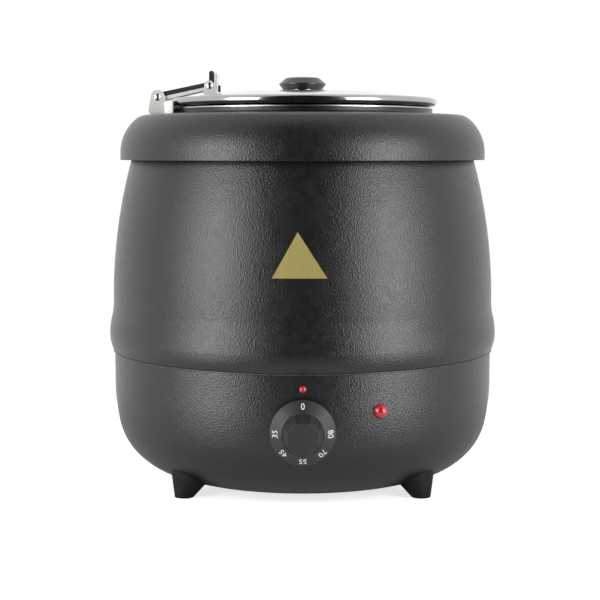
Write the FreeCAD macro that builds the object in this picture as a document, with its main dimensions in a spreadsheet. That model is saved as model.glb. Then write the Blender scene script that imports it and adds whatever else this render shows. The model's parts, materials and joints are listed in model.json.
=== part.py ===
import FreeCAD
import Part
import Sketcher
import math
import os

# A countertop soup kettle: a two-shell housing on four feet, a wet-heat pan with a lift-out pot,
# a hinged lid on a pivoting arm, and a thermostat dial. Z is up, the floor is z = 0, the dial
# faces -Y and the lid hinge is at -X. Lengths are millimetres, angles are degrees.

DIMENSIONS = {
    # Upper barrel shell
    "shell_wall": 1.0,
    "seam_radius": 165.8,
    "seam_rise": 25.5,
    "bead_bulge": 4.2,
    "bead_rise": 14.5,
    "bead_lower_curve": 34.5,
    "bead_upper_curve": 55.3,
    "bead_shoulder_bulge": 2.4,
    "bead_shoulder_rise": 14.0,
    "bead_hollow_curve": 54.0,
    "barrel_bulge": 0.7,
    "barrel_start_rise": 11.0,
    "barrel_curve": 460.0,
    "barrel_taper": 28.5,
    "shell_flange_width": 9.4,
    # Lower bowl shell
    "lower_rim_overlap": 24.5,
    "bowl_side_rise": 36.3,
    "bowl_side_curve": 190.0,
    "bowl_upper_inset": 3.2,
    "bowl_upper_rise": 28.6,
    "bowl_upper_slope": 10.5,
    "bowl_corner_curve": 54.0,
    "bowl_lower_inset": 15.2,
    "bowl_lower_rise": 17.7,
    "bowl_lower_slope": 45.5,
    "bowl_base_curve": 61.7,
    "bowl_flat_inset": 44.4,
    "bowl_bottom_height": 5.4,
    "base_opening_radius": 75.0,
    "wall_hole_depth": 15.0,
    # Collar
    "collar_wall": 1.2,
    "collar_bottom_rise": 125.5,
    "collar_overhang": 21.2,
    "collar_skirt_rise": 5.5,
    "collar_side_curve": 37.9,
    "collar_shoulder_inset": 14.3,
    "collar_shoulder_rise": 30.2,
    "collar_shoulder_slope": 51.8,
    "collar_edge_curve": 13.1,
    "collar_flat_inset": 8.1,
    "collar_edge_rise": 2.8,
    "collar_hem_width": 7.2,
    "neck_fillet": 3.0,
    "neck_rise": 5.2,
    # Pot and water pan
    "pot_wall": 0.8,
    "water_jacket": 19.0,
    "pot_bottom_gap": 14.0,
    "pot_corner": 20.0,
    "pot_rim_width": 5.5,
    "pan_wall": 1.0,
    "pan_gap": 1.6,
    "pan_bottom_height": 45.0,
    "pan_corner": 15.0,
    "pan_flange_inset": 2.0,
    # Heater and tie studs under the pan
    "heater_radius": 80.0,
    "heater_tube_radius": 4.0,
    "heater_gap_angle": 30.0,
    "heater_leg_length": 11.0,
    "clamp_outer_radius": 90.0,
    "clamp_inner_radius": 52.0,
    "clamp_thickness": 1.5,
    "clamp_notch_margin": 8.0,
    "stud_radius": 2.5,
    "stud_circle_radius": 60.0,
    "stud_first_angle": 90.0,
    "nut_circumradius": 5.2,
    "nut_height": 3.2,
    "hole_clearance": 0.2,
    "base_plate_lap": 13.0,
    "base_plate_thickness": 1.2,
    # Feet
    "foot_angle": 45.0,
    "foot_bottom_inset": 26.5,
    "foot_bottom_radius": 8.0,
    "foot_lean": 24.0,
    "foot_top_radius": 32.0,
    "foot_loft_height": 42.0,
    "foot_recess_radius": 5.5,
    "foot_recess_depth": 5.0,
    "foot_screw_radius": 2.5,
    "foot_screw_head_radius": 4.5,
    "foot_screw_head_height": 3.5,
    "foot_screw_top": 28.0,
    "foot_nut_circumradius": 6.0,
    "foot_nut_top": 25.0,
    # Collar screws
    "collar_screw_inset": 3.9,
    "collar_screw_angle": 30.0,
    "collar_screw_radius": 1.75,
    "collar_screw_head_radius": 3.2,
    "collar_screw_head_height": 2.5,
    "collar_screw_bite": 0.8,
    # Thermostat, dial and index
    "dial_height": 67.6,
    "dial_gap": 2.0,
    "dial_radius": 26.0,
    "dial_edge_thickness": 2.5,
    "dial_edge_round": 1.0,
    "dial_face_radius": 17.0,
    "dial_skirt_thickness": 10.2,
    "hub_length": 18.0,
    "hub_base_circumradius": 16.6,
    "hub_face_circumradius": 13.3,
    "hub_root": 0.8,
    "spindle_radius": 3.0,
    "spindle_dial_depth": 10.0,
    "spindle_depth": 15.8,
    "running_clearance": 0.05,
    "spindle_hole_radius": 4.5,
    "thermostat_width": 40.0,
    "thermostat_rise": 40.0,
    "thermostat_depth": 31.8,
    "thermostat_screw_offset": 14.0,
    "thermostat_screw_radius": 1.5,
    "thermostat_screw_length": 9.0,
    "thermostat_screw_head_radius": 2.8,
    "thermostat_screw_head_height": 1.4,
    "index_height": 101.2,
    "index_radius": 3.0,
    "index_rise": 2.5,
    "index_shank_radius": 1.5,
    "index_shank_length": 7.0,
    # Sensing bulb, capillary and cut-out
    "bulb_radius": 3.0,
    "bulb_length": 60.0,
    "clip_width": 10.0,
    "clip_wall": 1.5,
    "capillary_radius": 1.0,
    "capillary_bend": 6.0,
    "capillary_lead_out": 9.0,
    "wiring_height": 27.0,
    "capillary_rise_inset": 19.8,
    "cutout_radius": 9.0,
    "cutout_thickness": 8.0,
    "cutout_offset": 30.0,
    "cutout_blade_width": 6.0,
    "cutout_blade_length": 5.0,
    # Terminal block and leads
    "block_width": 52.0,
    "block_depth": 14.0,
    "block_rise": 14.0,
    "block_front": 30.0,
    "block_screw_radius": 2.0,
    "block_screw_height": 1.2,
    "block_screw_pitch": 12.0,
    "lead_radius": 1.2,
    "lead_bend": 5.0,
    "thermostat_lead_offset": 12.0,
    # Lamp
    "lamp_angle": -68.2,
    "lamp_height": 82.0,
    "lens_radius": 6.0,
    "lens_rise": 5.5,
    "lens_dome_curve": 6.0,
    "lens_shank_radius": 4.5,
    "lens_shank_depth": 7.8,
    "lamp_body_radius": 5.0,
    "lamp_body_length": 20.0,
    "lamp_nut_radius": 8.0,
    "lamp_nut_depth": 4.3,
    # Cord gland
    "gland_height": 75.0,
    "gland_bore_radius": 4.25,
    "gland_throat_radius": 5.2,
    "gland_throat_gap": 1.5,
    "gland_shank_radius": 7.5,
    "gland_depth": 13.8,
    "gland_flange_radius": 12.0,
    "gland_flange_thickness": 5.0,
    "gland_barrel_radius": 9.0,
    "gland_cap_radius": 10.5,
    "gland_cap_length": 8.0,
    "gland_rise": 30.2,
    "gland_nut_radius": 11.5,
    "gland_nut_depth": 6.8,
    # Lid
    "lid_sphere_radius": 774.0,
    "lid_wall": 0.8,
    "lid_roll_outset": 0.5,
    "lid_roll_radius": 3.5,
    "lid_seat_gap": 1.5,
    "lid_edge_overlap": 2.1,
    "lid_edge_lift": 2.77,
    "knob_washer_thickness": 0.5,
    "knob_washer_radius": 12.0,
    "knob_base_radius": 17.2,
    "knob_radius": 20.3,
    "knob_waist_height": 4.2,
    "knob_band": 1.0,
    "knob_band_curve": 0.8,
    "knob_top_radius": 12.6,
    "knob_shoulder_width": 2.8,
    "knob_shoulder_drop": 1.0,
    "knob_shoulder_curve": 4.4,
    "knob_rise": 10.4,
    "knob_screw_radius": 2.0,
    "knob_screw_reach": 7.5,
    "knob_screw_head_radius": 4.0,
    "knob_screw_head_height": 2.6,
    # Lid hinge
    "hinge_pin_offset": 5.5,
    "hinge_pin_radius": 2.5,
    "pin_head_radius": 3.4,
    "pin_head_height": 1.6,
    "arm_length": 46.25,
    "arm_slope": 12.2,
    "arm_half_width": 10.0,
    "arm_sheet": 1.5,
    "arm_root_radius": 3.6,
    "arm_tip_radius": 3.3,
    "tail_left": 0.6,
    "tail_thickness": 4.3,
    "tail_overlap": 2.4,
    "tail_rise": 13.0,
    "tail_half_width": 8.0,
    "ear_gap": 0.5,
    "ear_sheet": 2.0,
    "collar_ear_radius": 6.2,
    "collar_ear_left": 8.2,
    "collar_ear_right": 8.0,
    "collar_ear_corner": 5.0,
    "bracket_base_thickness": 2.0,
    "bracket_rivet_radius": 2.0,
    "rivet_head_radius": 2.9,
    "rivet_head_height": 1.2,
    "rivet_offset": 6.0,
    "guard_gap": 1.5,
    "guard_wall": 1.5,
    "guard_height": 11.5,
    "guard_angle": 48.0,
    "lid_pin_radius": 2.0,
    "lid_ear_radius": 4.4,
    "lid_base_left": 5.6,
    "lid_base_thickness": 2.1,
    "pivot_lift": 5.7,
    "stop_gap": 4.4,
    "stop_thickness": 2.6,
    "stop_rise": 10.5,
    "stop_screw_radius": 1.6,
    "stop_screw_head_radius": 3.0,
    "stop_screw_head_height": 2.0,
    "stop_screw_drop": 2.2,
}

doc = FreeCAD.newDocument("soup_kettle")
sheet = doc.addObject("Spreadsheet::Sheet", "Sizes")
for row, (alias, number) in enumerate(DIMENSIONS.items(), start=1):
    sheet.set(f"A{row}", alias)
    sheet.set(f"B{row}", str(number))
    sheet.setAlias(f"B{row}", alias)
doc.recompute()


class Size:
    """A number together with the sheet expression that yields it."""

    def __init__(self, value, text):
        self.value = float(value)
        self.text = text

    def __add__(self, other):
        other = as_size(other)
        return Size(self.value + other.value, f"({self.text} + {other.text})")

    def __radd__(self, other):
        return as_size(other) + self

    def __sub__(self, other):
        other = as_size(other)
        return Size(self.value - other.value, f"({self.text} - {other.text})")

    def __rsub__(self, other):
        return as_size(other) - self

    def __mul__(self, other):
        other = as_size(other)
        return Size(self.value * other.value, f"({self.text} * {other.text})")

    def __rmul__(self, other):
        return as_size(other) * self

    def __truediv__(self, other):
        other = as_size(other)
        return Size(self.value / other.value, f"({self.text} / {other.text})")

    def __neg__(self):
        return Size(-self.value, f"(-1 * {self.text})")


def as_size(number):
    """Give a plain number the form of a Size."""
    if isinstance(number, Size):
        return number
    return Size(number, f"({number})")


def cosine(angle):
    return Size(math.cos(math.radians(angle.value)), f"cos({angle.text})")


def sine(angle):
    return Size(math.sin(math.radians(angle.value)), f"sin({angle.text})")


def root(size):
    return Size(math.sqrt(size.value), f"sqrt({size.text})")


class Dimensions:
    """Reads each driving dimension from the sheet by its alias."""

    def __getattr__(self, alias):
        return Size(sheet.get(alias), f"Sizes.{alias}")


dim = Dimensions()
ZERO = as_size(0)
HALF_TURN = "half turn"
FULL_TURN = 360
FOOT_NAMES = ("rear_right", "rear_left", "front_left", "front_right")
COLLAR_SCREWS = 6
TIE_STUDS = 3
HUB_SIDES = 8
TERMINALS = 4
pieces = {}


# Radii that follow from the seam outwards and inwards

dim.bead_radius = dim.seam_radius + dim.bead_bulge
dim.bead_shoulder_radius = dim.seam_radius + dim.bead_shoulder_bulge
dim.barrel_radius = dim.seam_radius + dim.barrel_bulge
dim.barrel_top_radius = dim.barrel_radius - dim.barrel_taper
dim.shell_flange_radius = dim.barrel_top_radius - dim.shell_flange_width
dim.bowl_upper_radius = dim.seam_radius - dim.bowl_upper_inset
dim.bowl_lower_radius = dim.bowl_upper_radius - dim.bowl_lower_inset
dim.bowl_flat_radius = dim.bowl_lower_radius - dim.bowl_flat_inset
dim.base_plate_radius = dim.base_opening_radius + dim.base_plate_lap
dim.collar_radius = dim.barrel_top_radius + dim.collar_overhang
dim.collar_shoulder_radius = dim.collar_radius - dim.collar_shoulder_inset
dim.collar_flat_radius = dim.collar_shoulder_radius - dim.collar_flat_inset
dim.collar_hem_radius = dim.collar_radius - dim.collar_hem_width
dim.pan_radius = dim.shell_flange_radius - dim.pan_gap
dim.pan_flange_radius = dim.barrel_top_radius - dim.pan_flange_inset
dim.pot_radius = dim.pan_radius - dim.water_jacket
dim.pot_rim_radius = dim.pot_radius + dim.pot_rim_width
dim.neck_radius = dim.pot_rim_radius
dim.collar_screw_circle = dim.shell_flange_radius + dim.collar_screw_inset
dim.foot_bottom_circle = dim.seam_radius - dim.foot_bottom_inset
dim.foot_top_circle = dim.foot_bottom_circle - dim.foot_lean

# Reaches measured from the wall at the seam

dim.spindle_root = dim.seam_radius - dim.spindle_depth
dim.thermostat_back = dim.seam_radius - dim.thermostat_depth
dim.capillary_rise_radius = dim.seam_radius - dim.capillary_rise_inset
dim.lens_shank_root = dim.seam_radius - dim.lens_shank_depth
dim.lamp_body_root = dim.lens_shank_root - dim.lamp_body_length
dim.lamp_nut_root = dim.seam_radius - dim.lamp_nut_depth
dim.gland_root = dim.seam_radius - dim.gland_depth
dim.gland_reach = dim.seam_radius + dim.gland_rise
dim.gland_nut_root = dim.seam_radius - dim.gland_nut_depth

# Heights stacked from the bowl's bottom to the lid

dim.bowl_lower_height = dim.bowl_bottom_height + dim.bowl_lower_rise
dim.bowl_upper_height = dim.bowl_lower_height + dim.bowl_upper_rise
dim.bowl_side_height = dim.bowl_upper_height + dim.bowl_side_rise
dim.seam_height = dim.bowl_side_height + dim.seam_rise
dim.lower_rim_height = dim.seam_height + dim.lower_rim_overlap
dim.bead_height = dim.seam_height + dim.bead_rise
dim.bead_shoulder_height = dim.bead_height + dim.bead_shoulder_rise
dim.barrel_start_height = dim.bead_shoulder_height + dim.barrel_start_rise
dim.collar_bottom_height = dim.barrel_start_height + dim.collar_bottom_rise
dim.collar_skirt_height = dim.collar_bottom_height + dim.collar_skirt_rise
dim.collar_shoulder_height = dim.collar_skirt_height + dim.collar_shoulder_rise
dim.collar_top_height = dim.collar_shoulder_height + dim.collar_edge_rise
dim.neck_height = dim.collar_top_height + dim.neck_rise
dim.pot_bottom_height = dim.pan_bottom_height + dim.pan_wall + dim.pot_bottom_gap


# Lid and hinge places that follow from the neck and the pot's rim

def sphere_drop(sphere_radius, radius):
    """How far a sphere's surface lies below its top at a radius."""
    return sphere_radius - root(sphere_radius * sphere_radius - radius * radius)


dim.lid_roll_circle = dim.neck_radius + dim.lid_roll_outset
dim.lid_roll_height = dim.neck_height + dim.pot_wall + dim.lid_seat_gap + dim.lid_roll_radius
lid_wall_edge = dim.lid_roll_circle + dim.lid_edge_overlap - dim.lid_roll_radius
lid_crown = sphere_drop(dim.lid_sphere_radius, lid_wall_edge)
dim.lid_top_height = dim.lid_roll_height + dim.lid_edge_lift + lid_crown
dim.guard_inner_radius = dim.lid_roll_circle + dim.lid_roll_radius + dim.guard_gap
guard_outer_radius = dim.guard_inner_radius + dim.guard_wall
dim.hinge_pin_x = -(guard_outer_radius + dim.hinge_pin_offset)
pivot_x = dim.hinge_pin_x + dim.arm_length * cosine(dim.arm_slope)
lid_at_pivot = dim.lid_top_height - sphere_drop(dim.lid_sphere_radius, pivot_x)
dim.lid_base_height = lid_at_pivot + dim.lid_base_thickness
pivot_height = dim.lid_base_height + dim.pivot_lift
dim.hinge_pin_height = pivot_height - dim.arm_length * sine(dim.arm_slope)


# Building helpers

def bind(item, path, size):
    """Tie one property of an item to a sheet expression."""
    item.setExpression(path, as_size(size).text)


def place(item, x, y, z):
    bind(item, "Placement.Base.x", x)
    bind(item, "Placement.Base.y", y)
    bind(item, "Placement.Base.z", z)


def keep(label, item):
    """Name a finished piece."""
    item.Label = label
    pieces[label] = item
    return item


ALONG = {
    "x": FreeCAD.Rotation(FreeCAD.Vector(0, 1, 0), 90),
    "y": FreeCAD.Rotation(FreeCAD.Vector(1, 0, 0), -90),
    "z": FreeCAD.Rotation(),
}


def cylinder(name, radius, height, x=ZERO, y=ZERO, z=ZERO, along="z"):
    item = doc.addObject("Part::Cylinder", name)
    bind(item, "Radius", radius)
    bind(item, "Height", height)
    item.Placement = FreeCAD.Placement(FreeCAD.Vector(), ALONG[along])
    place(item, x, y, z)
    return item


def box(name, low, high):
    """A box between two opposite corners."""
    item = doc.addObject("Part::Box", name)
    bind(item, "Length", as_size(high[0]) - low[0])
    bind(item, "Width", as_size(high[1]) - low[1])
    bind(item, "Height", as_size(high[2]) - low[2])
    place(item, *low)
    return item


def hex_prism(name, circumradius, height, x, y, z):
    item = doc.addObject("Part::Prism", name)
    item.Polygon = 6
    bind(item, "Circumradius", circumradius)
    bind(item, "Height", height)
    place(item, x, y, z)
    return item


def group(name, items):
    """Several separate solids under one name."""
    item = doc.addObject("Part::Compound", name)
    item.Links = items
    return item


def cut(name, base, tools):
    item = doc.addObject("Part::Cut", name)
    item.Base = base
    item.Tool = tools[0] if len(tools) == 1 else group(f"{name}_tools", tools)
    return item


def fuse(name, items):
    item = doc.addObject("Part::MultiFuse", name)
    item.Shapes = items
    item.Refine = True
    return item


def common(name, base, tool):
    item = doc.addObject("Part::Common", name)
    item.Base = base
    item.Tool = tool
    return item


def arc_geometry(start, end, radius):
    """The arc of a signed radius from start to end: positive turns left, negative turns right."""
    chord = end - start
    middle = (start + end) * 0.5
    side = FreeCAD.Vector(-chord.y, chord.x, 0).normalize()
    depth = math.sqrt(max(radius * radius - chord.Length ** 2 / 4, 0))
    centre = middle + side * math.copysign(depth, radius)
    first, last = (start, end) if radius > 0 else (end, start)
    angle_first = math.atan2(first.y - centre.y, first.x - centre.x)
    angle_last = math.atan2(last.y - centre.y, last.x - centre.x)
    circle = Part.Circle(centre, FreeCAD.Vector(0, 0, 1), abs(radius))
    return Part.ArcOfCircle(circle, angle_first, angle_last)


def outline_sketch(body, name, corners):
    """A closed outline on the body's XZ plane. A corner's third value is the arc to the next corner."""
    sketch = body.newObject("Sketcher::SketchObject", f"{name}_outline")
    plane = [f for f in body.Origin.OriginFeatures if f.Role == "XZ_Plane"][0]
    sketch.AttachmentSupport = [(plane, "")]
    sketch.MapMode = "FlatFace"
    arcs = [corner[2] if len(corner) > 2 else None for corner in corners]
    places = [(as_size(corner[0]), as_size(corner[1])) for corner in corners]
    points = [FreeCAD.Vector(u.value, v.value, 0) for u, v in places]
    ends = []
    for index, arc in enumerate(arcs):
        start = points[index]
        end = points[(index + 1) % len(points)]
        if arc is None:
            sketch.addGeometry(Part.LineSegment(start, end))
            ends.append((1, 2))
            continue
        radius = (end - start).Length / 2 if arc is HALF_TURN else arc.value
        sketch.addGeometry(arc_geometry(start, end, radius))
        ends.append((1, 2) if radius > 0 else (2, 1))
    for index, (u, v) in enumerate(places):
        before = (index - 1) % len(places)
        point = (index, ends[index][0])
        sketch.addConstraint(Sketcher.Constraint("Coincident", before, ends[before][1], *point))
        for kind, axis, size in (("DistanceX", -2, u), ("DistanceY", -1, v)):
            if size is ZERO:
                sketch.addConstraint(Sketcher.Constraint("PointOnObject", *point, axis))
            else:
                datum = sketch.addConstraint(Sketcher.Constraint(kind, *point, size.value))
                sketch.setExpression(f"Constraints[{datum}]", size.text)
    for index, arc in enumerate(arcs):
        if arc is HALF_TURN:
            sketch.addConstraint(Sketcher.Constraint("Symmetric", index, 1, index, 2, index, 3))
        elif arc is not None:
            radius = arc if arc.value > 0 else -arc
            datum = sketch.addConstraint(Sketcher.Constraint("Radius", index, radius.value))
            sketch.setExpression(f"Constraints[{datum}]", radius.text)
    return sketch


def revolved(name, corners, axis="V_Axis"):
    """An outline turned about the vertical axis, or about the body's own X axis with H_Axis."""
    body = doc.addObject("PartDesign::Body", name)
    sketch = outline_sketch(body, name, corners)
    turn = body.newObject("PartDesign::Revolution", f"{name}_turn")
    turn.Profile = sketch
    turn.ReferenceAxis = (sketch, [axis])
    turn.Angle = FULL_TURN
    return body


def radial(name, corners, angle, height):
    """A turned piece whose axis points outwards at an angle round the kettle. Corners: reach, radius."""
    body = revolved(name, corners, "H_Axis")
    body.Placement = FreeCAD.Placement(FreeCAD.Vector(), FreeCAD.Rotation(FreeCAD.Vector(0, 0, 1), 1))
    bind(body, "Placement.Rotation.Angle", angle)
    bind(body, "Placement.Base.z", height)
    return body


def radial_rod(name, radius, near, far, angle, height):
    return radial(name, [(near, ZERO), (far, ZERO), (far, radius), (near, radius)], angle, height)


def padded(name, corners, width):
    """An outline in the XZ plane given a width, centred on y = 0."""
    body = doc.addObject("PartDesign::Body", name)
    sketch = outline_sketch(body, name, corners)
    pad = body.newObject("PartDesign::Pad", f"{name}_pad")
    pad.Profile = sketch
    pad.SideType = "Symmetric"
    bind(pad, "Length", width)
    return body


def polar(radius, angle):
    return radius * cosine(angle), radius * sine(angle)


def dome_curve(radius, rise):
    """Radius of the sphere whose cap has a radius and a rise."""
    return (radius * radius + rise * rise) / (2 * rise)


FRONT = as_size(-90)
REAR = as_size(90)


# Upper barrel shell

collar_under = dim.collar_top_height - dim.collar_wall
pan_flange_bottom = collar_under - dim.pan_wall
shell_flange_bottom = pan_flange_bottom - dim.shell_wall


def upper_shell_blank():
    wall = dim.shell_wall
    lip = dim.seam_radius + wall
    return revolved("upper_shell_blank", [
        (dim.seam_radius, dim.seam_height),
        (lip, dim.seam_height, dim.bead_lower_curve),
        (dim.bead_radius, dim.bead_height, dim.bead_upper_curve),
        (dim.bead_shoulder_radius, dim.bead_shoulder_height, -dim.bead_hollow_curve),
        (dim.barrel_radius, dim.barrel_start_height, dim.barrel_curve),
        (dim.barrel_top_radius, pan_flange_bottom),
        (dim.shell_flange_radius, pan_flange_bottom),
        (dim.shell_flange_radius, shell_flange_bottom),
        (dim.barrel_top_radius - wall, shell_flange_bottom, -dim.barrel_curve),
        (dim.barrel_radius - wall, dim.barrel_start_height, dim.bead_hollow_curve),
        (dim.bead_shoulder_radius - wall, dim.bead_shoulder_height, -dim.bead_upper_curve),
        (dim.bead_radius - wall, dim.bead_height, -dim.bead_lower_curve),
    ])


def collar_screw_spots():
    spacing = FULL_TURN / COLLAR_SCREWS
    angles = [dim.collar_screw_angle + spacing * index for index in range(COLLAR_SCREWS)]
    return [polar(dim.collar_screw_circle, angle) for angle in angles]


def collar_screw_holes(name, bottom, height):
    radius = dim.collar_screw_radius + dim.hole_clearance
    return [cylinder(f"{name}_{i}", radius, height, x, y, bottom)
            for i, (x, y) in enumerate(collar_screw_spots())]


keep("upper_shell", cut("upper_shell", upper_shell_blank(),
                        collar_screw_holes("shell_screw_hole", shell_flange_bottom, dim.shell_wall)))


# Lower bowl shell, with its filled outer and inner forms

def bowl_form(name, wall, top):
    """The filled bowl, drawn in from the outside by a wall."""
    upper, lower = dim.bowl_upper_slope, dim.bowl_lower_slope
    bottom = dim.bowl_bottom_height + wall
    return revolved(name, [
        (ZERO, bottom),
        (dim.bowl_flat_radius, bottom, dim.bowl_base_curve - wall),
        (dim.bowl_lower_radius - wall * cosine(lower), dim.bowl_lower_height + wall * sine(lower),
         dim.bowl_corner_curve - wall),
        (dim.bowl_upper_radius - wall * cosine(upper), dim.bowl_upper_height + wall * sine(upper),
         dim.bowl_side_curve - wall),
        (dim.seam_radius - wall, dim.bowl_side_height),
        (dim.seam_radius - wall, top),
        (ZERO, top),
    ])


bowl_outer = bowl_form("bowl_outer", as_size(0.0), dim.lower_rim_height)
bowl_inner = bowl_form("bowl_inner", dim.shell_wall, dim.lower_rim_height + dim.shell_wall)


def foot_angles():
    return [dim.foot_angle + FULL_TURN / len(FOOT_NAMES) * index for index in range(len(FOOT_NAMES))]


def lower_shell():
    far = dim.seam_radius + dim.shell_wall
    near = dim.seam_radius - dim.wall_hole_depth
    screw = dim.thermostat_screw_radius
    tools = [
        bowl_inner,
        cylinder("base_opening", dim.base_opening_radius, dim.bowl_upper_height),
        radial_rod("spindle_hole", dim.spindle_hole_radius, near, far, FRONT, dim.dial_height),
        radial_rod("index_hole", dim.index_shank_radius, near, far, FRONT, dim.index_height),
        radial_rod("lamp_hole", dim.lens_shank_radius, near, far, dim.lamp_angle, dim.lamp_height),
        radial_rod("gland_hole", dim.gland_shank_radius, near, far, REAR, dim.gland_height),
    ]
    for name, side in (("left", -1), ("right", 1)):
        tools.append(cylinder(f"thermostat_hole_{name}", screw, far - near,
                              side * dim.thermostat_screw_offset, -far, dim.dial_height, "y"))
    for index, angle in enumerate(foot_angles()):
        x, y = polar(dim.foot_bottom_circle, angle)
        hole = dim.foot_screw_radius + dim.hole_clearance
        tools.append(cylinder(f"foot_hole_{index}", hole, dim.foot_screw_top, x, y, ZERO))
    cutter = fuse("lower_shell_cutter", tools)
    return cut("lower_shell", bowl_outer, [cutter])


keep("lower_shell", lower_shell())


# Collar and its screws

def collar():
    wall = dim.collar_wall
    slope = dim.collar_shoulder_slope
    blank = revolved("collar_blank", [
        (dim.collar_hem_radius, dim.collar_bottom_height),
        (dim.collar_radius, dim.collar_bottom_height),
        (dim.collar_radius, dim.collar_skirt_height, dim.collar_side_curve),
        (dim.collar_shoulder_radius, dim.collar_shoulder_height, dim.collar_edge_curve),
        (dim.collar_flat_radius, dim.collar_top_height),
        (dim.neck_radius + dim.neck_fillet, dim.collar_top_height, -dim.neck_fillet),
        (dim.neck_radius, dim.collar_top_height + dim.neck_fillet),
        (dim.neck_radius, dim.neck_height),
        (dim.neck_radius - wall, dim.neck_height),
        (dim.neck_radius - wall, collar_under),
        (dim.collar_flat_radius, collar_under, -(dim.collar_edge_curve - wall)),
        (dim.collar_shoulder_radius - wall * cosine(slope), dim.collar_shoulder_height - wall * sine(slope),
         -(dim.collar_side_curve - wall)),
        (dim.collar_radius - wall, dim.collar_skirt_height),
        (dim.collar_radius - wall, dim.collar_bottom_height + wall),
        (dim.collar_hem_radius, dim.collar_bottom_height + wall),
    ])
    screw, bite = dim.collar_screw_radius, dim.collar_screw_bite
    tools = [cylinder(f"collar_screw_bite_{i}", screw, bite, x, y, collar_under)
             for i, (x, y) in enumerate(collar_screw_spots())]
    tools += [cylinder(f"bracket_rivet_hole_{i}", dim.bracket_rivet_radius, dim.collar_wall,
                       dim.hinge_pin_x, side * dim.rivet_offset, collar_under)
              for i, side in enumerate((-1, 1))]
    return cut("collar", blank, tools)


def collar_screws():
    screws = []
    seat = shell_flange_bottom
    reach = collar_under + dim.collar_screw_bite - seat
    for index, (x, y) in enumerate(collar_screw_spots()):
        head = cylinder(f"collar_screw_head_{index}", dim.collar_screw_head_radius,
                        dim.collar_screw_head_height, x, y, seat - dim.collar_screw_head_height)
        shank = cylinder(f"collar_screw_shank_{index}", dim.collar_screw_radius, reach, x, y, seat)
        screws.append(fuse(f"collar_screw_{index}", [head, shank]))
    return group("collar_screws", screws)


keep("collar", collar())
keep("collar_screws", collar_screws())


# Lift-out pot and water pan

def vessel(name, radius, wall, bottom, corner, flange_radius, flange_bottom):
    """A straight-sided pot with a rounded bottom corner and a flat rim flange."""
    return revolved(name, [
        (ZERO, bottom),
        (radius - corner, bottom, corner),
        (radius, bottom + corner),
        (radius, flange_bottom),
        (flange_radius, flange_bottom),
        (flange_radius, flange_bottom + wall),
        (radius - wall, flange_bottom + wall),
        (radius - wall, bottom + corner, -(corner - wall)),
        (radius - corner, bottom + wall),
        (ZERO, bottom + wall),
    ])


keep("inner_pot", vessel("inner_pot", dim.pot_radius, dim.pot_wall, dim.pot_bottom_height, dim.pot_corner,
                         dim.pot_rim_radius, dim.neck_height))
pan_blank = vessel("pan_blank", dim.pan_radius, dim.pan_wall, dim.pan_bottom_height, dim.pan_corner,
                   dim.pan_flange_radius, pan_flange_bottom)
keep("water_pan", cut("water_pan", pan_blank,
                      collar_screw_holes("pan_screw_hole", pan_flange_bottom, dim.pan_wall)))


# Heater ring, clamp plate, tie studs, nuts and base plate

clamp_top = dim.pan_bottom_height - 2 * dim.heater_tube_radius
clamp_bottom = clamp_top - dim.clamp_thickness
plate_bottom = dim.bowl_bottom_height - dim.base_plate_thickness
heater_leg_bottom = dim.pan_bottom_height - dim.heater_tube_radius - dim.heater_leg_length
leg_x = dim.heater_radius * sine(dim.heater_gap_angle / 2)
leg_y = dim.heater_radius * cosine(dim.heater_gap_angle / 2)


def stud_spots():
    angles = [dim.stud_first_angle + FULL_TURN / TIE_STUDS * index for index in range(TIE_STUDS)]
    return [polar(dim.stud_circle_radius, angle) for angle in angles]


def heater_ring():
    ring = doc.addObject("Part::Torus", "heater_tube")
    bind(ring, "Radius1", dim.heater_radius)
    bind(ring, "Radius2", dim.heater_tube_radius)
    bind(ring, "Angle3", FULL_TURN - dim.heater_gap_angle)
    ring.Placement.Rotation = FreeCAD.Rotation(FreeCAD.Vector(0, 0, 1), 1)
    bind(ring, "Placement.Rotation.Angle", REAR + dim.heater_gap_angle / 2)
    place(ring, ZERO, ZERO, dim.pan_bottom_height - dim.heater_tube_radius)
    legs = [cylinder(f"heater_leg_{name}", dim.heater_tube_radius, dim.heater_leg_length,
                     side * leg_x, leg_y, heater_leg_bottom)
            for name, side in (("left", -1), ("right", 1))]
    return fuse("heater_ring", [ring] + legs)


def heater_clamp():
    disc = cylinder("clamp_disc", dim.clamp_outer_radius, dim.clamp_thickness, z=clamp_bottom)
    reach = leg_x + dim.clamp_notch_margin
    start = leg_y - dim.clamp_notch_margin
    tools = [cylinder("clamp_hole", dim.clamp_inner_radius, dim.clamp_thickness, z=clamp_bottom)]
    tools.append(box("clamp_notch", (-reach, start, clamp_bottom), (reach, dim.pan_radius, clamp_top)))
    tools += stud_holes("clamp_stud_hole", dim.clamp_thickness, clamp_bottom)
    return cut("heater_clamp", disc, [fuse("clamp_cutter", tools)])


def stud_holes(name, height, bottom):
    radius = dim.stud_radius + dim.hole_clearance
    return [cylinder(f"{name}_{i}", radius, height, x, y, bottom) for i, (x, y) in enumerate(stud_spots())]


def stud_nuts(name, top):
    nuts = []
    height = dim.nut_height
    for index, (x, y) in enumerate(stud_spots()):
        body = hex_prism(f"{name}_hex_{index}", dim.nut_circumradius, height, x, y, top - height)
        bore = cylinder(f"{name}_bore_{index}", dim.stud_radius, height, x, y, top - height)
        nuts.append(cut(f"{name}_{index}", body, [bore]))
    return group(name, nuts)


def tie_studs():
    bottom = plate_bottom - dim.nut_height
    reach = dim.pan_bottom_height - bottom
    return group("tie_studs", [cylinder(f"tie_stud_{i}", dim.stud_radius, reach, x, y, bottom)
                               for i, (x, y) in enumerate(stud_spots())])


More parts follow.
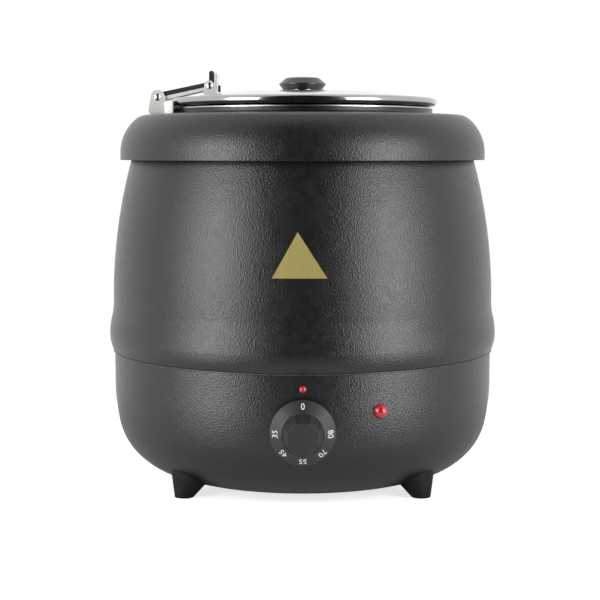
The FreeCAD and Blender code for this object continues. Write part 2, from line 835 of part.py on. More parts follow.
keep("heater_ring", heater_ring())
keep("heater_clamp", heater_clamp())
keep("tie_studs", tie_studs())
keep("clamp_nuts", stud_nuts("clamp_nuts", clamp_bottom))
keep("base_nuts", stud_nuts("base_nuts", plate_bottom))
base_disc = cylinder("base_disc", dim.base_plate_radius, dim.base_plate_thickness, z=plate_bottom)
keep("base_plate", cut("base_plate", base_disc,
                       stud_holes("plate_stud_hole", dim.base_plate_thickness, plate_bottom)))


# Feet with their screws and nuts

def foot_circle(name, radius, x, y, z):
    item = doc.addObject("Part::Circle", name)
    bind(item, "Radius", radius)
    place(item, x, y, z)
    return item


def foot(label, angle):
    bottom_x, bottom_y = polar(dim.foot_bottom_circle, angle)
    top_x, top_y = polar(dim.foot_top_circle, angle)
    loft = doc.addObject("Part::Loft", f"{label}_loft")
    loft.Sections = [
        foot_circle(f"{label}_bottom", dim.foot_bottom_radius, bottom_x, bottom_y, ZERO),
        foot_circle(f"{label}_top", dim.foot_top_radius, top_x, top_y, dim.foot_loft_height),
    ]
    loft.Solid = True
    loft.Ruled = True
    recess = cylinder(f"{label}_recess", dim.foot_recess_radius, dim.foot_recess_depth,
                      bottom_x, bottom_y, ZERO)
    bore = cylinder(f"{label}_bore", dim.foot_screw_radius + dim.hole_clearance, dim.foot_loft_height,
                    bottom_x, bottom_y, ZERO)
    return cut(label, loft, [fuse(f"{label}_cutter", [bowl_outer, recess, bore])])


def foot_screw(index, angle):
    x, y = polar(dim.foot_bottom_circle, angle)
    head = cylinder(f"foot_screw_head_{index}", dim.foot_screw_head_radius, dim.foot_screw_head_height,
                    x, y, dim.foot_recess_depth - dim.foot_screw_head_height)
    shank = cylinder(f"foot_screw_shank_{index}", dim.foot_screw_radius,
                     dim.foot_screw_top - dim.foot_recess_depth, x, y, dim.foot_recess_depth)
    return fuse(f"foot_screw_{index}", [head, shank])


def foot_nut(index, angle):
    x, y = polar(dim.foot_bottom_circle, angle)
    prism = hex_prism(f"foot_nut_hex_{index}", dim.foot_nut_circumradius,
                      dim.foot_nut_top - dim.bowl_bottom_height, x, y, dim.bowl_bottom_height)
    bore = cylinder(f"foot_nut_bore_{index}", dim.foot_screw_radius, dim.foot_nut_top, x, y, ZERO)
    seated = common(f"foot_nut_seated_{index}", prism, bowl_inner)
    return cut(f"foot_nut_{index}", seated, [bore])


for foot_name, foot_direction in zip(FOOT_NAMES, foot_angles()):
    keep(f"foot_{foot_name}", foot(f"foot_{foot_name}", foot_direction))
keep("foot_screws", group("foot_screws", [foot_screw(i, a) for i, a in enumerate(foot_angles())]))
keep("foot_nuts", group("foot_nuts", [foot_nut(i, a) for i, a in enumerate(foot_angles())]))


# Thermostat with its spindle, screws and dial

dial_back = dim.seam_radius + dim.dial_gap
dial_skirt_front = dial_back + dim.dial_skirt_thickness
dial_front = dial_skirt_front + dim.hub_length
spindle_tip = dial_back + dim.spindle_dial_depth


def thermostat_screw_spots():
    return (("left", -dim.thermostat_screw_offset), ("right", dim.thermostat_screw_offset))


def thermostat_body():
    half = dim.thermostat_width / 2
    rise = dim.thermostat_rise / 2
    block = box("thermostat_block", (-half, -dim.seam_radius, dim.dial_height - rise),
                (half, -dim.thermostat_back, dim.dial_height + rise))
    seated = common("thermostat_seated", block, bowl_inner)
    bush = radial_rod("thermostat_bush", dim.spindle_radius + dim.running_clearance,
                      dim.spindle_root - dim.dial_gap, dim.seam_radius, FRONT, dim.dial_height)
    bores = [thermostat_screw_shank(f"thermostat_bore_{name}", x) for name, x in thermostat_screw_spots()]
    return cut("thermostat_body", seated, [bush] + bores)


def thermostat_screw_shank(name, x):
    return cylinder(name, dim.thermostat_screw_radius, dim.thermostat_screw_length, x,
                    -(dim.seam_radius + dim.thermostat_screw_head_height / 2), dim.dial_height, "y")


def thermostat_screws():
    screws = []
    front = -(dim.seam_radius + dim.thermostat_screw_head_height / 2)
    for name, x in thermostat_screw_spots():
        blank = cylinder(f"thermostat_head_{name}", dim.thermostat_screw_head_radius,
                         dim.thermostat_screw_length, x, front, dim.dial_height, "y")
        head = cut(f"thermostat_head_seated_{name}", blank, [bowl_outer])
        shank = thermostat_screw_shank(f"thermostat_shank_{name}", x)
        screws.append(fuse(f"thermostat_screw_{name}", [head, shank]))
    return group("thermostat_screws", screws)


def hub_octagon(name, circumradius, reach):
    item = doc.addObject("Part::RegularPolygon", name)
    item.Polygon = HUB_SIDES
    bind(item, "Circumradius", circumradius)
    facing = FreeCAD.Rotation(FreeCAD.Vector(1, 0, 0), 90)
    flats_level = FreeCAD.Rotation(FreeCAD.Vector(0, 0, 1), FULL_TURN / HUB_SIDES / 2)
    item.Placement = FreeCAD.Placement(FreeCAD.Vector(), facing.multiply(flats_level))
    place(item, ZERO, -reach, dim.dial_height)
    return item


def control_dial():
    edge = dial_back + dim.dial_edge_thickness
    inset = dim.dial_edge_round / 2
    skirt = radial("dial_skirt", [
        (dial_back, ZERO),
        (dial_skirt_front, ZERO),
        (dial_skirt_front, dim.dial_face_radius),
        (edge + inset, dim.dial_radius - inset, dim.dial_edge_round),
        (edge, dim.dial_radius),
        (dial_back, dim.dial_radius),
    ], FRONT, dim.dial_height)
    hub = doc.addObject("Part::Loft", "dial_hub")
    hub.Sections = [
        hub_octagon("hub_foot", dim.hub_base_circumradius, dial_skirt_front - dim.hub_root),
        hub_octagon("hub_face", dim.hub_face_circumradius, dial_front),
    ]
    hub.Solid = True
    hub.Ruled = True
    bore = radial_rod("dial_bore", dim.spindle_radius, dial_back, spindle_tip, FRONT, dim.dial_height)
    return cut("control_dial", fuse("dial_blank", [skirt, hub]), [bore])


keep("thermostat_body", thermostat_body())
keep("thermostat_screws", thermostat_screws())
keep("dial_spindle", radial_rod("dial_spindle", dim.spindle_radius, dim.spindle_root, spindle_tip,
                                FRONT, dim.dial_height))
keep("control_dial", control_dial())


# Red index stud and lamp

def index_stud():
    seat = dim.seam_radius
    curve = dome_curve(dim.index_radius, dim.index_rise)
    return radial("index_stud", [
        (seat - dim.index_shank_length, ZERO),
        (seat + dim.index_rise, ZERO, curve),
        (seat, dim.index_radius),
        (seat, dim.index_shank_radius),
        (seat - dim.index_shank_length, dim.index_shank_radius),
    ], FRONT, dim.index_height)


def lamp_lens():
    seat = dim.seam_radius
    return radial("lamp_lens", [
        (dim.lens_shank_root, ZERO),
        (seat + dim.lens_rise, ZERO, dim.lens_dome_curve),
        (seat, dim.lens_radius),
        (seat, dim.lens_shank_radius),
        (dim.lens_shank_root, dim.lens_shank_radius),
    ], dim.lamp_angle, dim.lamp_height)


def ring_nut(label, radius, bore_radius, near, angle, height):
    """A round nut seated against the inside of the bowl."""
    far = dim.seam_radius
    ring = radial(f"{label}_ring", [(near, bore_radius), (far, bore_radius), (far, radius), (near, radius)],
                  angle, height)
    return common(label, ring, bowl_inner)


keep("index_stud", index_stud())
keep("lamp_lens", lamp_lens())
keep("lamp_body", radial_rod("lamp_body", dim.lamp_body_radius, dim.lamp_body_root, dim.lens_shank_root,
                             dim.lamp_angle, dim.lamp_height))
keep("lamp_nut", ring_nut("lamp_nut", dim.lamp_nut_radius, dim.lens_shank_radius, dim.lamp_nut_root,
                          dim.lamp_angle, dim.lamp_height))


# Cord gland

def cord_gland():
    seat = dim.seam_radius
    throat = seat + dim.gland_throat_gap
    cap_start = dim.gland_reach - dim.gland_cap_length
    outside = radial("gland_outside", [
        (dim.gland_root, dim.gland_throat_radius),
        (throat, dim.gland_throat_radius),
        (throat, dim.gland_bore_radius),
        (dim.gland_reach, dim.gland_bore_radius),
        (dim.gland_reach, dim.gland_barrel_radius - dim.gland_bore_radius / 2),
        (cap_start, dim.gland_cap_radius),
        (cap_start, dim.gland_barrel_radius),
        (seat + dim.gland_flange_thickness, dim.gland_barrel_radius),
        (seat + dim.gland_flange_thickness, dim.gland_flange_radius),
        (dim.gland_root, dim.gland_flange_radius),
    ], REAR, dim.gland_height)
    seated = cut("gland_seated", outside, [bowl_outer])
    shank = radial("gland_shank", [
        (dim.gland_root, dim.gland_throat_radius),
        (throat, dim.gland_throat_radius),
        (throat, dim.gland_bore_radius),
        (seat + dim.gland_flange_thickness, dim.gland_bore_radius),
        (seat + dim.gland_flange_thickness, dim.gland_shank_radius),
        (dim.gland_root, dim.gland_shank_radius),
    ], REAR, dim.gland_height)
    return fuse("cord_gland", [seated, shank])


keep("cord_gland", cord_gland())
keep("gland_nut", ring_nut("gland_nut", dim.gland_nut_radius, dim.gland_shank_radius, dim.gland_nut_root,
                           REAR, dim.gland_height))


# Sensing bulb, clip, capillary, cut-out, terminal block and leads

bulb_height = dim.pan_bottom_height - dim.bulb_radius
thermostat_bottom = dim.dial_height - dim.thermostat_rise / 2


def direction(start, end):
    """The axis direction of a level or upright run, as signs along Y and Z."""
    along_y = end[0].value - start[0].value
    along_z = end[1].value - start[1].value
    if abs(along_y) > abs(along_z):
        return (int(math.copysign(1, along_y)), 0)
    return (0, int(math.copysign(1, along_z)))


QUARTER_START = {(0, -1): 0, (1, 0): 90, (0, 1): 180, (-1, 0): 270}


def tube(label, x, route, radius, bend):
    """A round tube in a plane of constant x, along level and upright runs joined by quarter bends."""
    runs = [direction(a, b) for a, b in zip(route, route[1:])]
    parts = []
    for index, (step_y, step_z) in enumerate(runs):
        start, end = route[index], route[index + 1]
        near = bend if index > 0 else ZERO
        far = bend if index < len(runs) - 1 else ZERO
        low, high = (start, end) if step_y + step_z > 0 else (end, start)
        low_trim = near if step_y + step_z > 0 else far
        reach = (high[0] - low[0] if step_y else high[1] - low[1]) - near - far
        low_y = low[0] + low_trim if step_y else low[0]
        low_z = low[1] + low_trim if step_z else low[1]
        parts.append(cylinder(f"{label}_run_{index}", radius, reach, x, low_y, low_z, "y" if step_y else "z"))
    for index in range(len(runs) - 1):
        before, after = runs[index], runs[index + 1]
        corner = route[index + 1]
        first = QUARTER_START[(-after[0], -after[1])]
        second = QUARTER_START[before]
        elbow = doc.addObject("Part::Torus", f"{label}_bend_{index}")
        bind(elbow, "Radius1", bend)
        bind(elbow, "Radius2", radius)
        elbow.Angle3 = 90
        sweep_start = first if (second - first) % 360 == 90 else second
        turned = FreeCAD.Rotation(FreeCAD.Vector(1, 0, 0), sweep_start)
        elbow.Placement = FreeCAD.Placement(FreeCAD.Vector(), turned.multiply(ALONG["x"]))
        place(elbow, x, corner[0] + bend * (after[0] - before[0]), corner[1] + bend * (after[1] - before[1]))
        parts.append(elbow)
    return fuse(label, parts)


def capillary_tube():
    start = -dim.bulb_length / 2
    drop = start - dim.capillary_lead_out
    return tube("capillary_tube", ZERO, [
        (start, bulb_height),
        (drop, bulb_height),
        (drop, dim.wiring_height),
        (-dim.capillary_rise_radius, dim.wiring_height),
        (-dim.capillary_rise_radius, thermostat_bottom),
    ], dim.capillary_radius, dim.capillary_bend)


def bulb_clip():
    half = dim.bulb_radius + dim.clip_wall
    block = box("clip_block", (-half, -dim.clip_width / 2, bulb_height - half),
                (half, dim.clip_width / 2, dim.pan_bottom_height))
    bore = cylinder("clip_bore", dim.bulb_radius, dim.clip_width, ZERO, -dim.clip_width / 2, bulb_height, "y")
    slot = box("clip_slot", (-dim.bulb_radius, -dim.clip_width / 2, bulb_height),
               (dim.bulb_radius, dim.clip_width / 2, dim.pan_bottom_height))
    return cut("bulb_clip", block, [fuse("clip_cutter", [bore, slot])])


def thermal_cutout():
    bottom = dim.pan_bottom_height - dim.cutout_thickness
    tip = bottom - dim.cutout_blade_length
    disc = cylinder("cutout_disc", dim.cutout_radius, dim.cutout_thickness, dim.cutout_offset, ZERO, bottom)
    blades = []
    for name, side in (("front", -1), ("rear", 1)):
        middle = side * dim.cutout_radius / 2
        half = dim.cutout_blade_width / 2
        blades.append(box(f"cutout_blade_{name}",
                          (dim.cutout_offset - half, middle - dim.clip_wall / 2, tip),
                          (dim.cutout_offset + half, middle + dim.clip_wall / 2, bottom + dim.clip_wall)))
    return fuse("thermal_cutout", [disc] + blades)


block_top = dim.bowl_bottom_height + dim.block_rise
block_back = dim.block_front + dim.block_depth
block_middle = dim.block_front + dim.block_depth / 2


def terminal_screws():
    screws = []
    for index in range(TERMINALS):
        x = dim.block_screw_pitch * (index - (TERMINALS - 1) / 2)
        screws.append(cylinder(f"terminal_screw_{index}", dim.block_screw_radius, dim.block_screw_height,
                               x, dim.block_front + dim.block_depth / 4, block_top))
    return group("terminal_screws", screws)


def internal_leads():
    leads = []
    for name, side in (("left", -1), ("right", 1)):
        leads.append(tube(f"thermostat_lead_{name}", side * dim.thermostat_lead_offset, [
            (block_middle + dim.block_depth / 4, block_top),
            (block_middle + dim.block_depth / 4, dim.wiring_height),
            (-dim.capillary_rise_radius, dim.wiring_height),
            (-dim.capillary_rise_radius, thermostat_bottom),
        ], dim.lead_radius, dim.lead_bend))
        leads.append(tube(f"heater_lead_{name}", side * leg_x, [
            (block_back, block_top - dim.block_rise / 2),
            (leg_y, block_top - dim.block_rise / 2),
            (leg_y, heater_leg_bottom),
        ], dim.lead_radius, dim.lead_bend))
    return group("internal_leads", leads)


keep("thermostat_bulb", cylinder("thermostat_bulb", dim.bulb_radius, dim.bulb_length,
                                 ZERO, -dim.bulb_length / 2, bulb_height, "y"))
keep("bulb_clip", bulb_clip())
keep("capillary_tube", capillary_tube())
keep("thermal_cutout", thermal_cutout())
keep("terminal_block", box("terminal_block", (-dim.block_width / 2, dim.block_front, dim.bowl_bottom_height),
                           (dim.block_width / 2, block_back, block_top)))
keep("terminal_screws", terminal_screws())
keep("internal_leads", internal_leads())


# Lid with its knob

def lid_height(radius, sphere_radius, top):
    """Height of the lid's dome at a radius."""
    return top - sphere_drop(sphere_radius, radius)


def lid_dome():
    under_radius = dim.lid_sphere_radius - dim.lid_wall
    under_top = dim.lid_top_height - dim.lid_wall
    edge_height = lid_height(lid_wall_edge, dim.lid_sphere_radius, dim.lid_top_height)
    dome = revolved("lid_shell", [
        (ZERO, under_top, -under_radius),
        (lid_wall_edge, lid_height(lid_wall_edge, under_radius, under_top)),
        (lid_wall_edge, edge_height, dim.lid_sphere_radius),
        (ZERO, dim.lid_top_height),
    ])
    roll = doc.addObject("Part::Torus", "lid_roll")
    bind(roll, "Radius1", dim.lid_roll_circle)
    bind(roll, "Radius2", dim.lid_roll_radius)
    place(roll, ZERO, ZERO, dim.lid_roll_height)
    tools = [cylinder("knob_screw_hole", dim.knob_screw_radius, dim.knob_rise, z=under_top - dim.lid_wall)]
    tools += lid_rivet_shanks("lid_rivet_hole")
    return cut("lid_dome", fuse("lid_blank", [dome, roll]), tools)


knob_bottom = dim.lid_top_height + dim.knob_washer_thickness
knob_screw_top = knob_bottom + dim.knob_screw_reach


def lid_knob():
    waist = knob_bottom + dim.knob_waist_height
    top = knob_bottom + dim.knob_rise
    shoulder = dim.knob_top_radius + dim.knob_shoulder_width
    blank = revolved("knob_blank", [
        (ZERO, knob_bottom),
        (dim.knob_base_radius, knob_bottom),
        (dim.knob_radius, waist, dim.knob_band_curve),
        (dim.knob_radius, waist + dim.knob_band),
        (shoulder, top - dim.knob_shoulder_drop, dim.knob_shoulder_curve),
        (dim.knob_top_radius, top),
        (ZERO, top),
    ])
    bore = cylinder("knob_bore", dim.knob_screw_radius, dim.knob_screw_reach, z=knob_bottom)
    return cut("lid_knob", blank, [bore])


def knob_screw():
    under = lid_height(dim.knob_screw_head_radius, dim.lid_sphere_radius - dim.lid_wall,
                       dim.lid_top_height - dim.lid_wall)
    head = cylinder("knob_screw_head", dim.knob_screw_head_radius, dim.knob_screw_head_height,
                    z=under - dim.knob_screw_head_height)
    shank = cylinder("knob_screw_shank", dim.knob_screw_radius, knob_screw_top - under, z=under)
    return fuse("knob_screw", [head, shank])


def knob_washer():
    disc = cylinder("washer_disc", dim.knob_washer_radius, dim.knob_washer_thickness, z=dim.lid_top_height)
    bore = cylinder("washer_bore", dim.knob_screw_radius, dim.knob_washer_thickness, z=dim.lid_top_height)
    return cut("knob_washer", disc, [bore])


# Lid hinge: a bracket and guard on the collar, a pivoting arm, and a bracket on the lid

ear_inside = dim.arm_half_width + dim.ear_gap
ear_outside = ear_inside + dim.ear_sheet


def pin_head(name, x, height, angle):
    """A domed head against the outside of an ear."""
    head = radial(name, [
        (ear_outside, ZERO),
        (ear_outside + dim.pin_head_height, ZERO, dome_curve(dim.pin_head_radius, dim.pin_head_height)),
        (ear_outside, dim.pin_head_radius),
    ], angle, height)
    bind(head, "Placement.Base.x", x)
    return head


def hinge_pin(label, radius, x, height):
    """A pin across both ears, with a head outside each."""
    shank = cylinder(f"{label}_shank", radius, 2 * ear_outside, x, -ear_outside, height, "y")
    heads = [pin_head(f"{label}_head_{name}", x, height, angle)
             for name, angle in (("front", FRONT), ("rear", REAR))]
    return fuse(label, [shank] + heads)


def collar_bracket():
    pin_x, pin_z = dim.hinge_pin_x, dim.hinge_pin_height
    base = dim.collar_top_height
    left, right = pin_x - dim.collar_ear_left, pin_x + dim.collar_ear_right
    ears = padded("collar_ears", [
        (left + dim.collar_ear_corner, base),
        (right, base),
        (pin_x + dim.collar_ear_radius, pin_z, HALF_TURN),
        (pin_x - dim.collar_ear_radius, pin_z),
        (left, base + dim.collar_ear_corner, dim.collar_ear_corner),
    ], 2 * ear_outside)
    middle = box("collar_ear_gap", (left, -ear_inside, base + dim.bracket_base_thickness),
                 (right, ear_inside, pin_z + 2 * dim.collar_ear_radius))
    bore = cylinder("collar_ear_bore", dim.hinge_pin_radius, 2 * ear_outside, pin_x, -ear_outside, pin_z, "y")
    guard = cylinder("guard_space", guard_outer_radius, dim.guard_height, z=base)
    rivets = [cylinder(f"bracket_rivet_bore_{i}", dim.bracket_rivet_radius, dim.bracket_base_thickness,
                       pin_x, side * dim.rivet_offset, base) for i, side in enumerate((-1, 1))]
    return cut("collar_bracket", ears, [fuse("collar_bracket_cutter", [middle, bore, guard] + rivets)])


def hinge_guard():
    band = cylinder("guard_band", guard_outer_radius, dim.guard_height, z=dim.collar_top_height)
    bind(band, "Angle", dim.guard_angle)
    band.Placement.Rotation = FreeCAD.Rotation(FreeCAD.Vector(0, 0, 1), 1)
    bind(band, "Placement.Rotation.Angle", 180 - dim.guard_angle / 2)
    inside = cylinder("guard_inside", dim.guard_inner_radius, dim.guard_height, z=dim.collar_top_height)
    return cut("hinge_guard", band, [inside])


def rivet(label, x, y, shank_bottom, head_bottom):
    reach = head_bottom - shank_bottom
    shank = cylinder(f"{label}_shank", dim.bracket_rivet_radius, reach, x, y, shank_bottom)
    head = cylinder(f"{label}_head", dim.rivet_head_radius, dim.rivet_head_height, x, y, head_bottom)
    return fuse(label, [shank, head])


def bracket_rivets():
    head_bottom = dim.collar_top_height + dim.bracket_base_thickness
    return group("bracket_rivets", [rivet(f"bracket_rivet_{i}", dim.hinge_pin_x, side * dim.rivet_offset,
                                          collar_under, head_bottom) for i, side in enumerate((-1, 1))])


def hinge_arm():
    root_r, tip_r = dim.arm_root_radius, dim.arm_tip_radius
    channel = padded("arm_channel", [
        (ZERO, -root_r),
        (dim.arm_length, -tip_r, HALF_TURN),
        (dim.arm_length, tip_r),
        (ZERO, root_r, HALF_TURN),
    ], 2 * dim.arm_half_width)
    inside = padded("arm_inside", [
        (-2 * root_r, -2 * root_r),
        (dim.arm_length + 2 * tip_r, -2 * root_r),
        (dim.arm_length + 2 * tip_r, tip_r - dim.arm_sheet),
        (-2 * root_r, root_r - dim.arm_sheet),
    ], 2 * (dim.arm_half_width - dim.arm_sheet))
    for body in (channel, inside):
        body.Placement = FreeCAD.Placement(FreeCAD.Vector(), FreeCAD.Rotation(FreeCAD.Vector(0, -1, 0), 1))
        bind(body, "Placement.Rotation.Angle", dim.arm_slope)
        place(body, dim.hinge_pin_x, ZERO, dim.hinge_pin_height)
    half = dim.tail_thickness / 2
    tail_left = pivot_x - dim.tail_left
    tail_top = pivot_height + dim.tail_rise - half
    tail = padded("arm_tail", [
        (tail_left, pivot_height + dim.tail_overlap),
        (tail_left + dim.tail_thickness, pivot_height + dim.tail_overlap),
        (tail_left + dim.tail_thickness, tail_top, HALF_TURN),
        (tail_left, tail_top),
    ], 2 * dim.tail_half_width)
    clearance = dim.running_clearance
    root_bore = cylinder("arm_root_bore", dim.hinge_pin_radius + clearance, 2 * dim.arm_half_width,
                         dim.hinge_pin_x, -dim.arm_half_width, dim.hinge_pin_height, "y")
    tip_bore = cylinder("arm_tip_bore", dim.lid_pin_radius + clearance, 2 * dim.arm_half_width,
                        pivot_x, -dim.arm_half_width, pivot_height, "y")
    open_channel = cut("arm_open_channel", channel, [inside])
    return cut("hinge_arm", fuse("arm_blank", [open_channel, tail]), [root_bore, tip_bore])


stop_left = pivot_x + dim.stop_gap
stop_right = stop_left + dim.stop_thickness
stop_screw_height = pivot_height - dim.stop_screw_drop


def dome_cutter(name):
    item = doc.addObject("Part::Sphere", name)
    bind(item, "Radius", dim.lid_sphere_radius)
    place(item, ZERO, ZERO, dim.lid_top_height - dim.lid_sphere_radius)
    return item


def lid_bracket():
    below = dim.lid_base_height - 2 * dim.lid_ear_radius
    base = box("lid_base", (pivot_x - dim.lid_base_left, -ear_outside, below),
               (stop_right, ear_outside, dim.lid_base_height))
    ears = padded("lid_ears", [
        (pivot_x - dim.lid_ear_radius, below),
        (pivot_x + dim.lid_ear_radius, below),
        (pivot_x + dim.lid_ear_radius, pivot_height, HALF_TURN),
        (pivot_x - dim.lid_ear_radius, pivot_height),
    ], 2 * ear_outside)
    middle = box("lid_ear_gap", (pivot_x - 2 * dim.lid_ear_radius, -ear_inside, dim.lid_base_height),
                 (pivot_x + 2 * dim.lid_ear_radius, ear_inside, pivot_height + 2 * dim.lid_ear_radius))
    stop = box("stop_plate", (stop_left, -ear_outside, below),
               (stop_right, ear_outside, pivot_height + dim.stop_rise))
    pin = cylinder("lid_ear_bore", dim.lid_pin_radius, 2 * ear_outside,
                   pivot_x, -ear_outside, pivot_height, "y")
    screw = cylinder("stop_screw_bore", dim.stop_screw_radius, dim.stop_thickness,
                     stop_left, ZERO, stop_screw_height, "x")
    open_ears = cut("lid_open_ears", ears, [middle])
    blank = fuse("lid_bracket_blank", [base, open_ears, stop])
    tools = [dome_cutter("lid_dome_form"), pin, screw] + lid_rivet_shanks("lid_rivet_bore")
    return cut("lid_bracket", blank, [fuse("lid_bracket_cutter", tools)])


def lid_rivet_spots():
    return [(pivot_x, side * dim.rivet_offset) for side in (-1, 1)]


def lid_rivet_shanks(name):
    bottom = dim.lid_base_height - 2 * dim.lid_ear_radius
    return [cylinder(f"{name}_{i}", dim.bracket_rivet_radius, dim.lid_base_height - bottom, x, y, bottom)
            for i, (x, y) in enumerate(lid_rivet_spots())]


def lid_bracket_rivets():
    spot_radius = root(pivot_x * pivot_x + dim.rivet_offset * dim.rivet_offset)
    under = lid_height(spot_radius, dim.lid_sphere_radius - dim.lid_wall, dim.lid_top_height - dim.lid_wall)
    rivets = [rivet(f"lid_rivet_{i}", x, y, under - dim.lid_wall, dim.lid_base_height)
              for i, (x, y) in enumerate(lid_rivet_spots())]
    return group("lid_bracket_rivets", rivets)


def stop_screw():
    shank = cylinder("stop_screw_shank", dim.stop_screw_radius, dim.stop_thickness,
                     stop_left, ZERO, stop_screw_height, "x")
    head = cylinder("stop_screw_head", dim.stop_screw_head_radius, dim.stop_screw_head_height,
                    stop_right, ZERO, stop_screw_height, "x")
    return fuse("stop_screw", [shank, head])


keep("lid_dome", lid_dome())
keep("lid_knob", lid_knob())
keep("knob_screw", knob_screw())
keep("knob_washer", knob_washer())
keep("collar_bracket", collar_bracket())
keep("hinge_guard", hinge_guard())
keep("bracket_rivets", bracket_rivets())
keep("base_pin", hinge_pin("base_pin", dim.hinge_pin_radius, dim.hinge_pin_x, dim.hinge_pin_height))
keep("hinge_arm", hinge_arm())
keep("lid_bracket", lid_bracket())
keep("lid_bracket_rivets", lid_bracket_rivets())
keep("lid_pin", hinge_pin("lid_pin", dim.lid_pin_radius, pivot_x, pivot_height))
keep("stop_screw", stop_screw())


# Check every object, then write each piece

doc.recompute()
for item in doc.Objects:
    if "Invalid" in item.State or "Error" in item.State:
        raise RuntimeError(f"{item.Name} failed: {item.State}")
for label, item in pieces.items():
    if item.Shape.isNull() or not item.Shape.isValid() or not item.Shape.Solids:
        raise RuntimeError(f"{label} has no valid solid")
os.makedirs("parts", exist_ok=True)
for label, item in pieces.items():
    item.Shape.exportStep(f"parts/{label}.step")
    print(label, len(item.Shape.Solids), round(item.Shape.Volume, 1))
print("lid arm pin", dim.hinge_pin_x.value, dim.hinge_pin_height.value)
print("lid pivot", round(pivot_x.value, 4), round(pivot_height.value, 4))
print("pieces", len(pieces))
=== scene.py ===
import json
import math

import bmesh
import bpy
from mathutils import Matrix, Vector


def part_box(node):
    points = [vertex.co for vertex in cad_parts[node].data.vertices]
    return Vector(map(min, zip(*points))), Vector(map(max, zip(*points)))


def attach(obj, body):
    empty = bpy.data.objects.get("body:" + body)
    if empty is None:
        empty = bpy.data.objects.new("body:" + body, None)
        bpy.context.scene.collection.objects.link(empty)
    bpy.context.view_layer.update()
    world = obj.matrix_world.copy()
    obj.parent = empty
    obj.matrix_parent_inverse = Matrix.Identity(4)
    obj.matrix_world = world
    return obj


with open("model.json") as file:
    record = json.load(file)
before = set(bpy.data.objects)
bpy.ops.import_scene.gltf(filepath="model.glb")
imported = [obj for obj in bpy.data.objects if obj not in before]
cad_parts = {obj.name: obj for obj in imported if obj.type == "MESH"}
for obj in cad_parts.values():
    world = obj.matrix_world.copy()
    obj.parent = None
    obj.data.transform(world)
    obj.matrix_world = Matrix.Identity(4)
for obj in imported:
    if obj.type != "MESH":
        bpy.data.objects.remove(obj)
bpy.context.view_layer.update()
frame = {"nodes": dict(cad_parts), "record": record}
nodes = frame["nodes"]
scene = bpy.context.scene
MM = 0.001


# Camera, matched to the photograph's frame of 600 by 600 pixels

FRAME_PIXELS = 600
FOCAL_PIXELS = 1450
HORIZON_PIXEL = 150
SENSOR_WIDTH = 36.0
CAMERA_PLACE = Vector((-2.2 * MM, -1283 * MM, 287 * MM))


def add_camera():
    data = bpy.data.cameras.new("camera")
    data.sensor_width = SENSOR_WIDTH
    data.lens = FOCAL_PIXELS / FRAME_PIXELS * SENSOR_WIDTH
    camera = bpy.data.objects.new("camera", data)
    pitch = math.atan((FRAME_PIXELS / 2 - HORIZON_PIXEL) / FOCAL_PIXELS)
    camera.location = CAMERA_PLACE
    camera.rotation_euler = (math.pi / 2 - pitch, 0, 0)
    scene.collection.objects.link(camera)
    scene.camera = camera


# Shader helpers

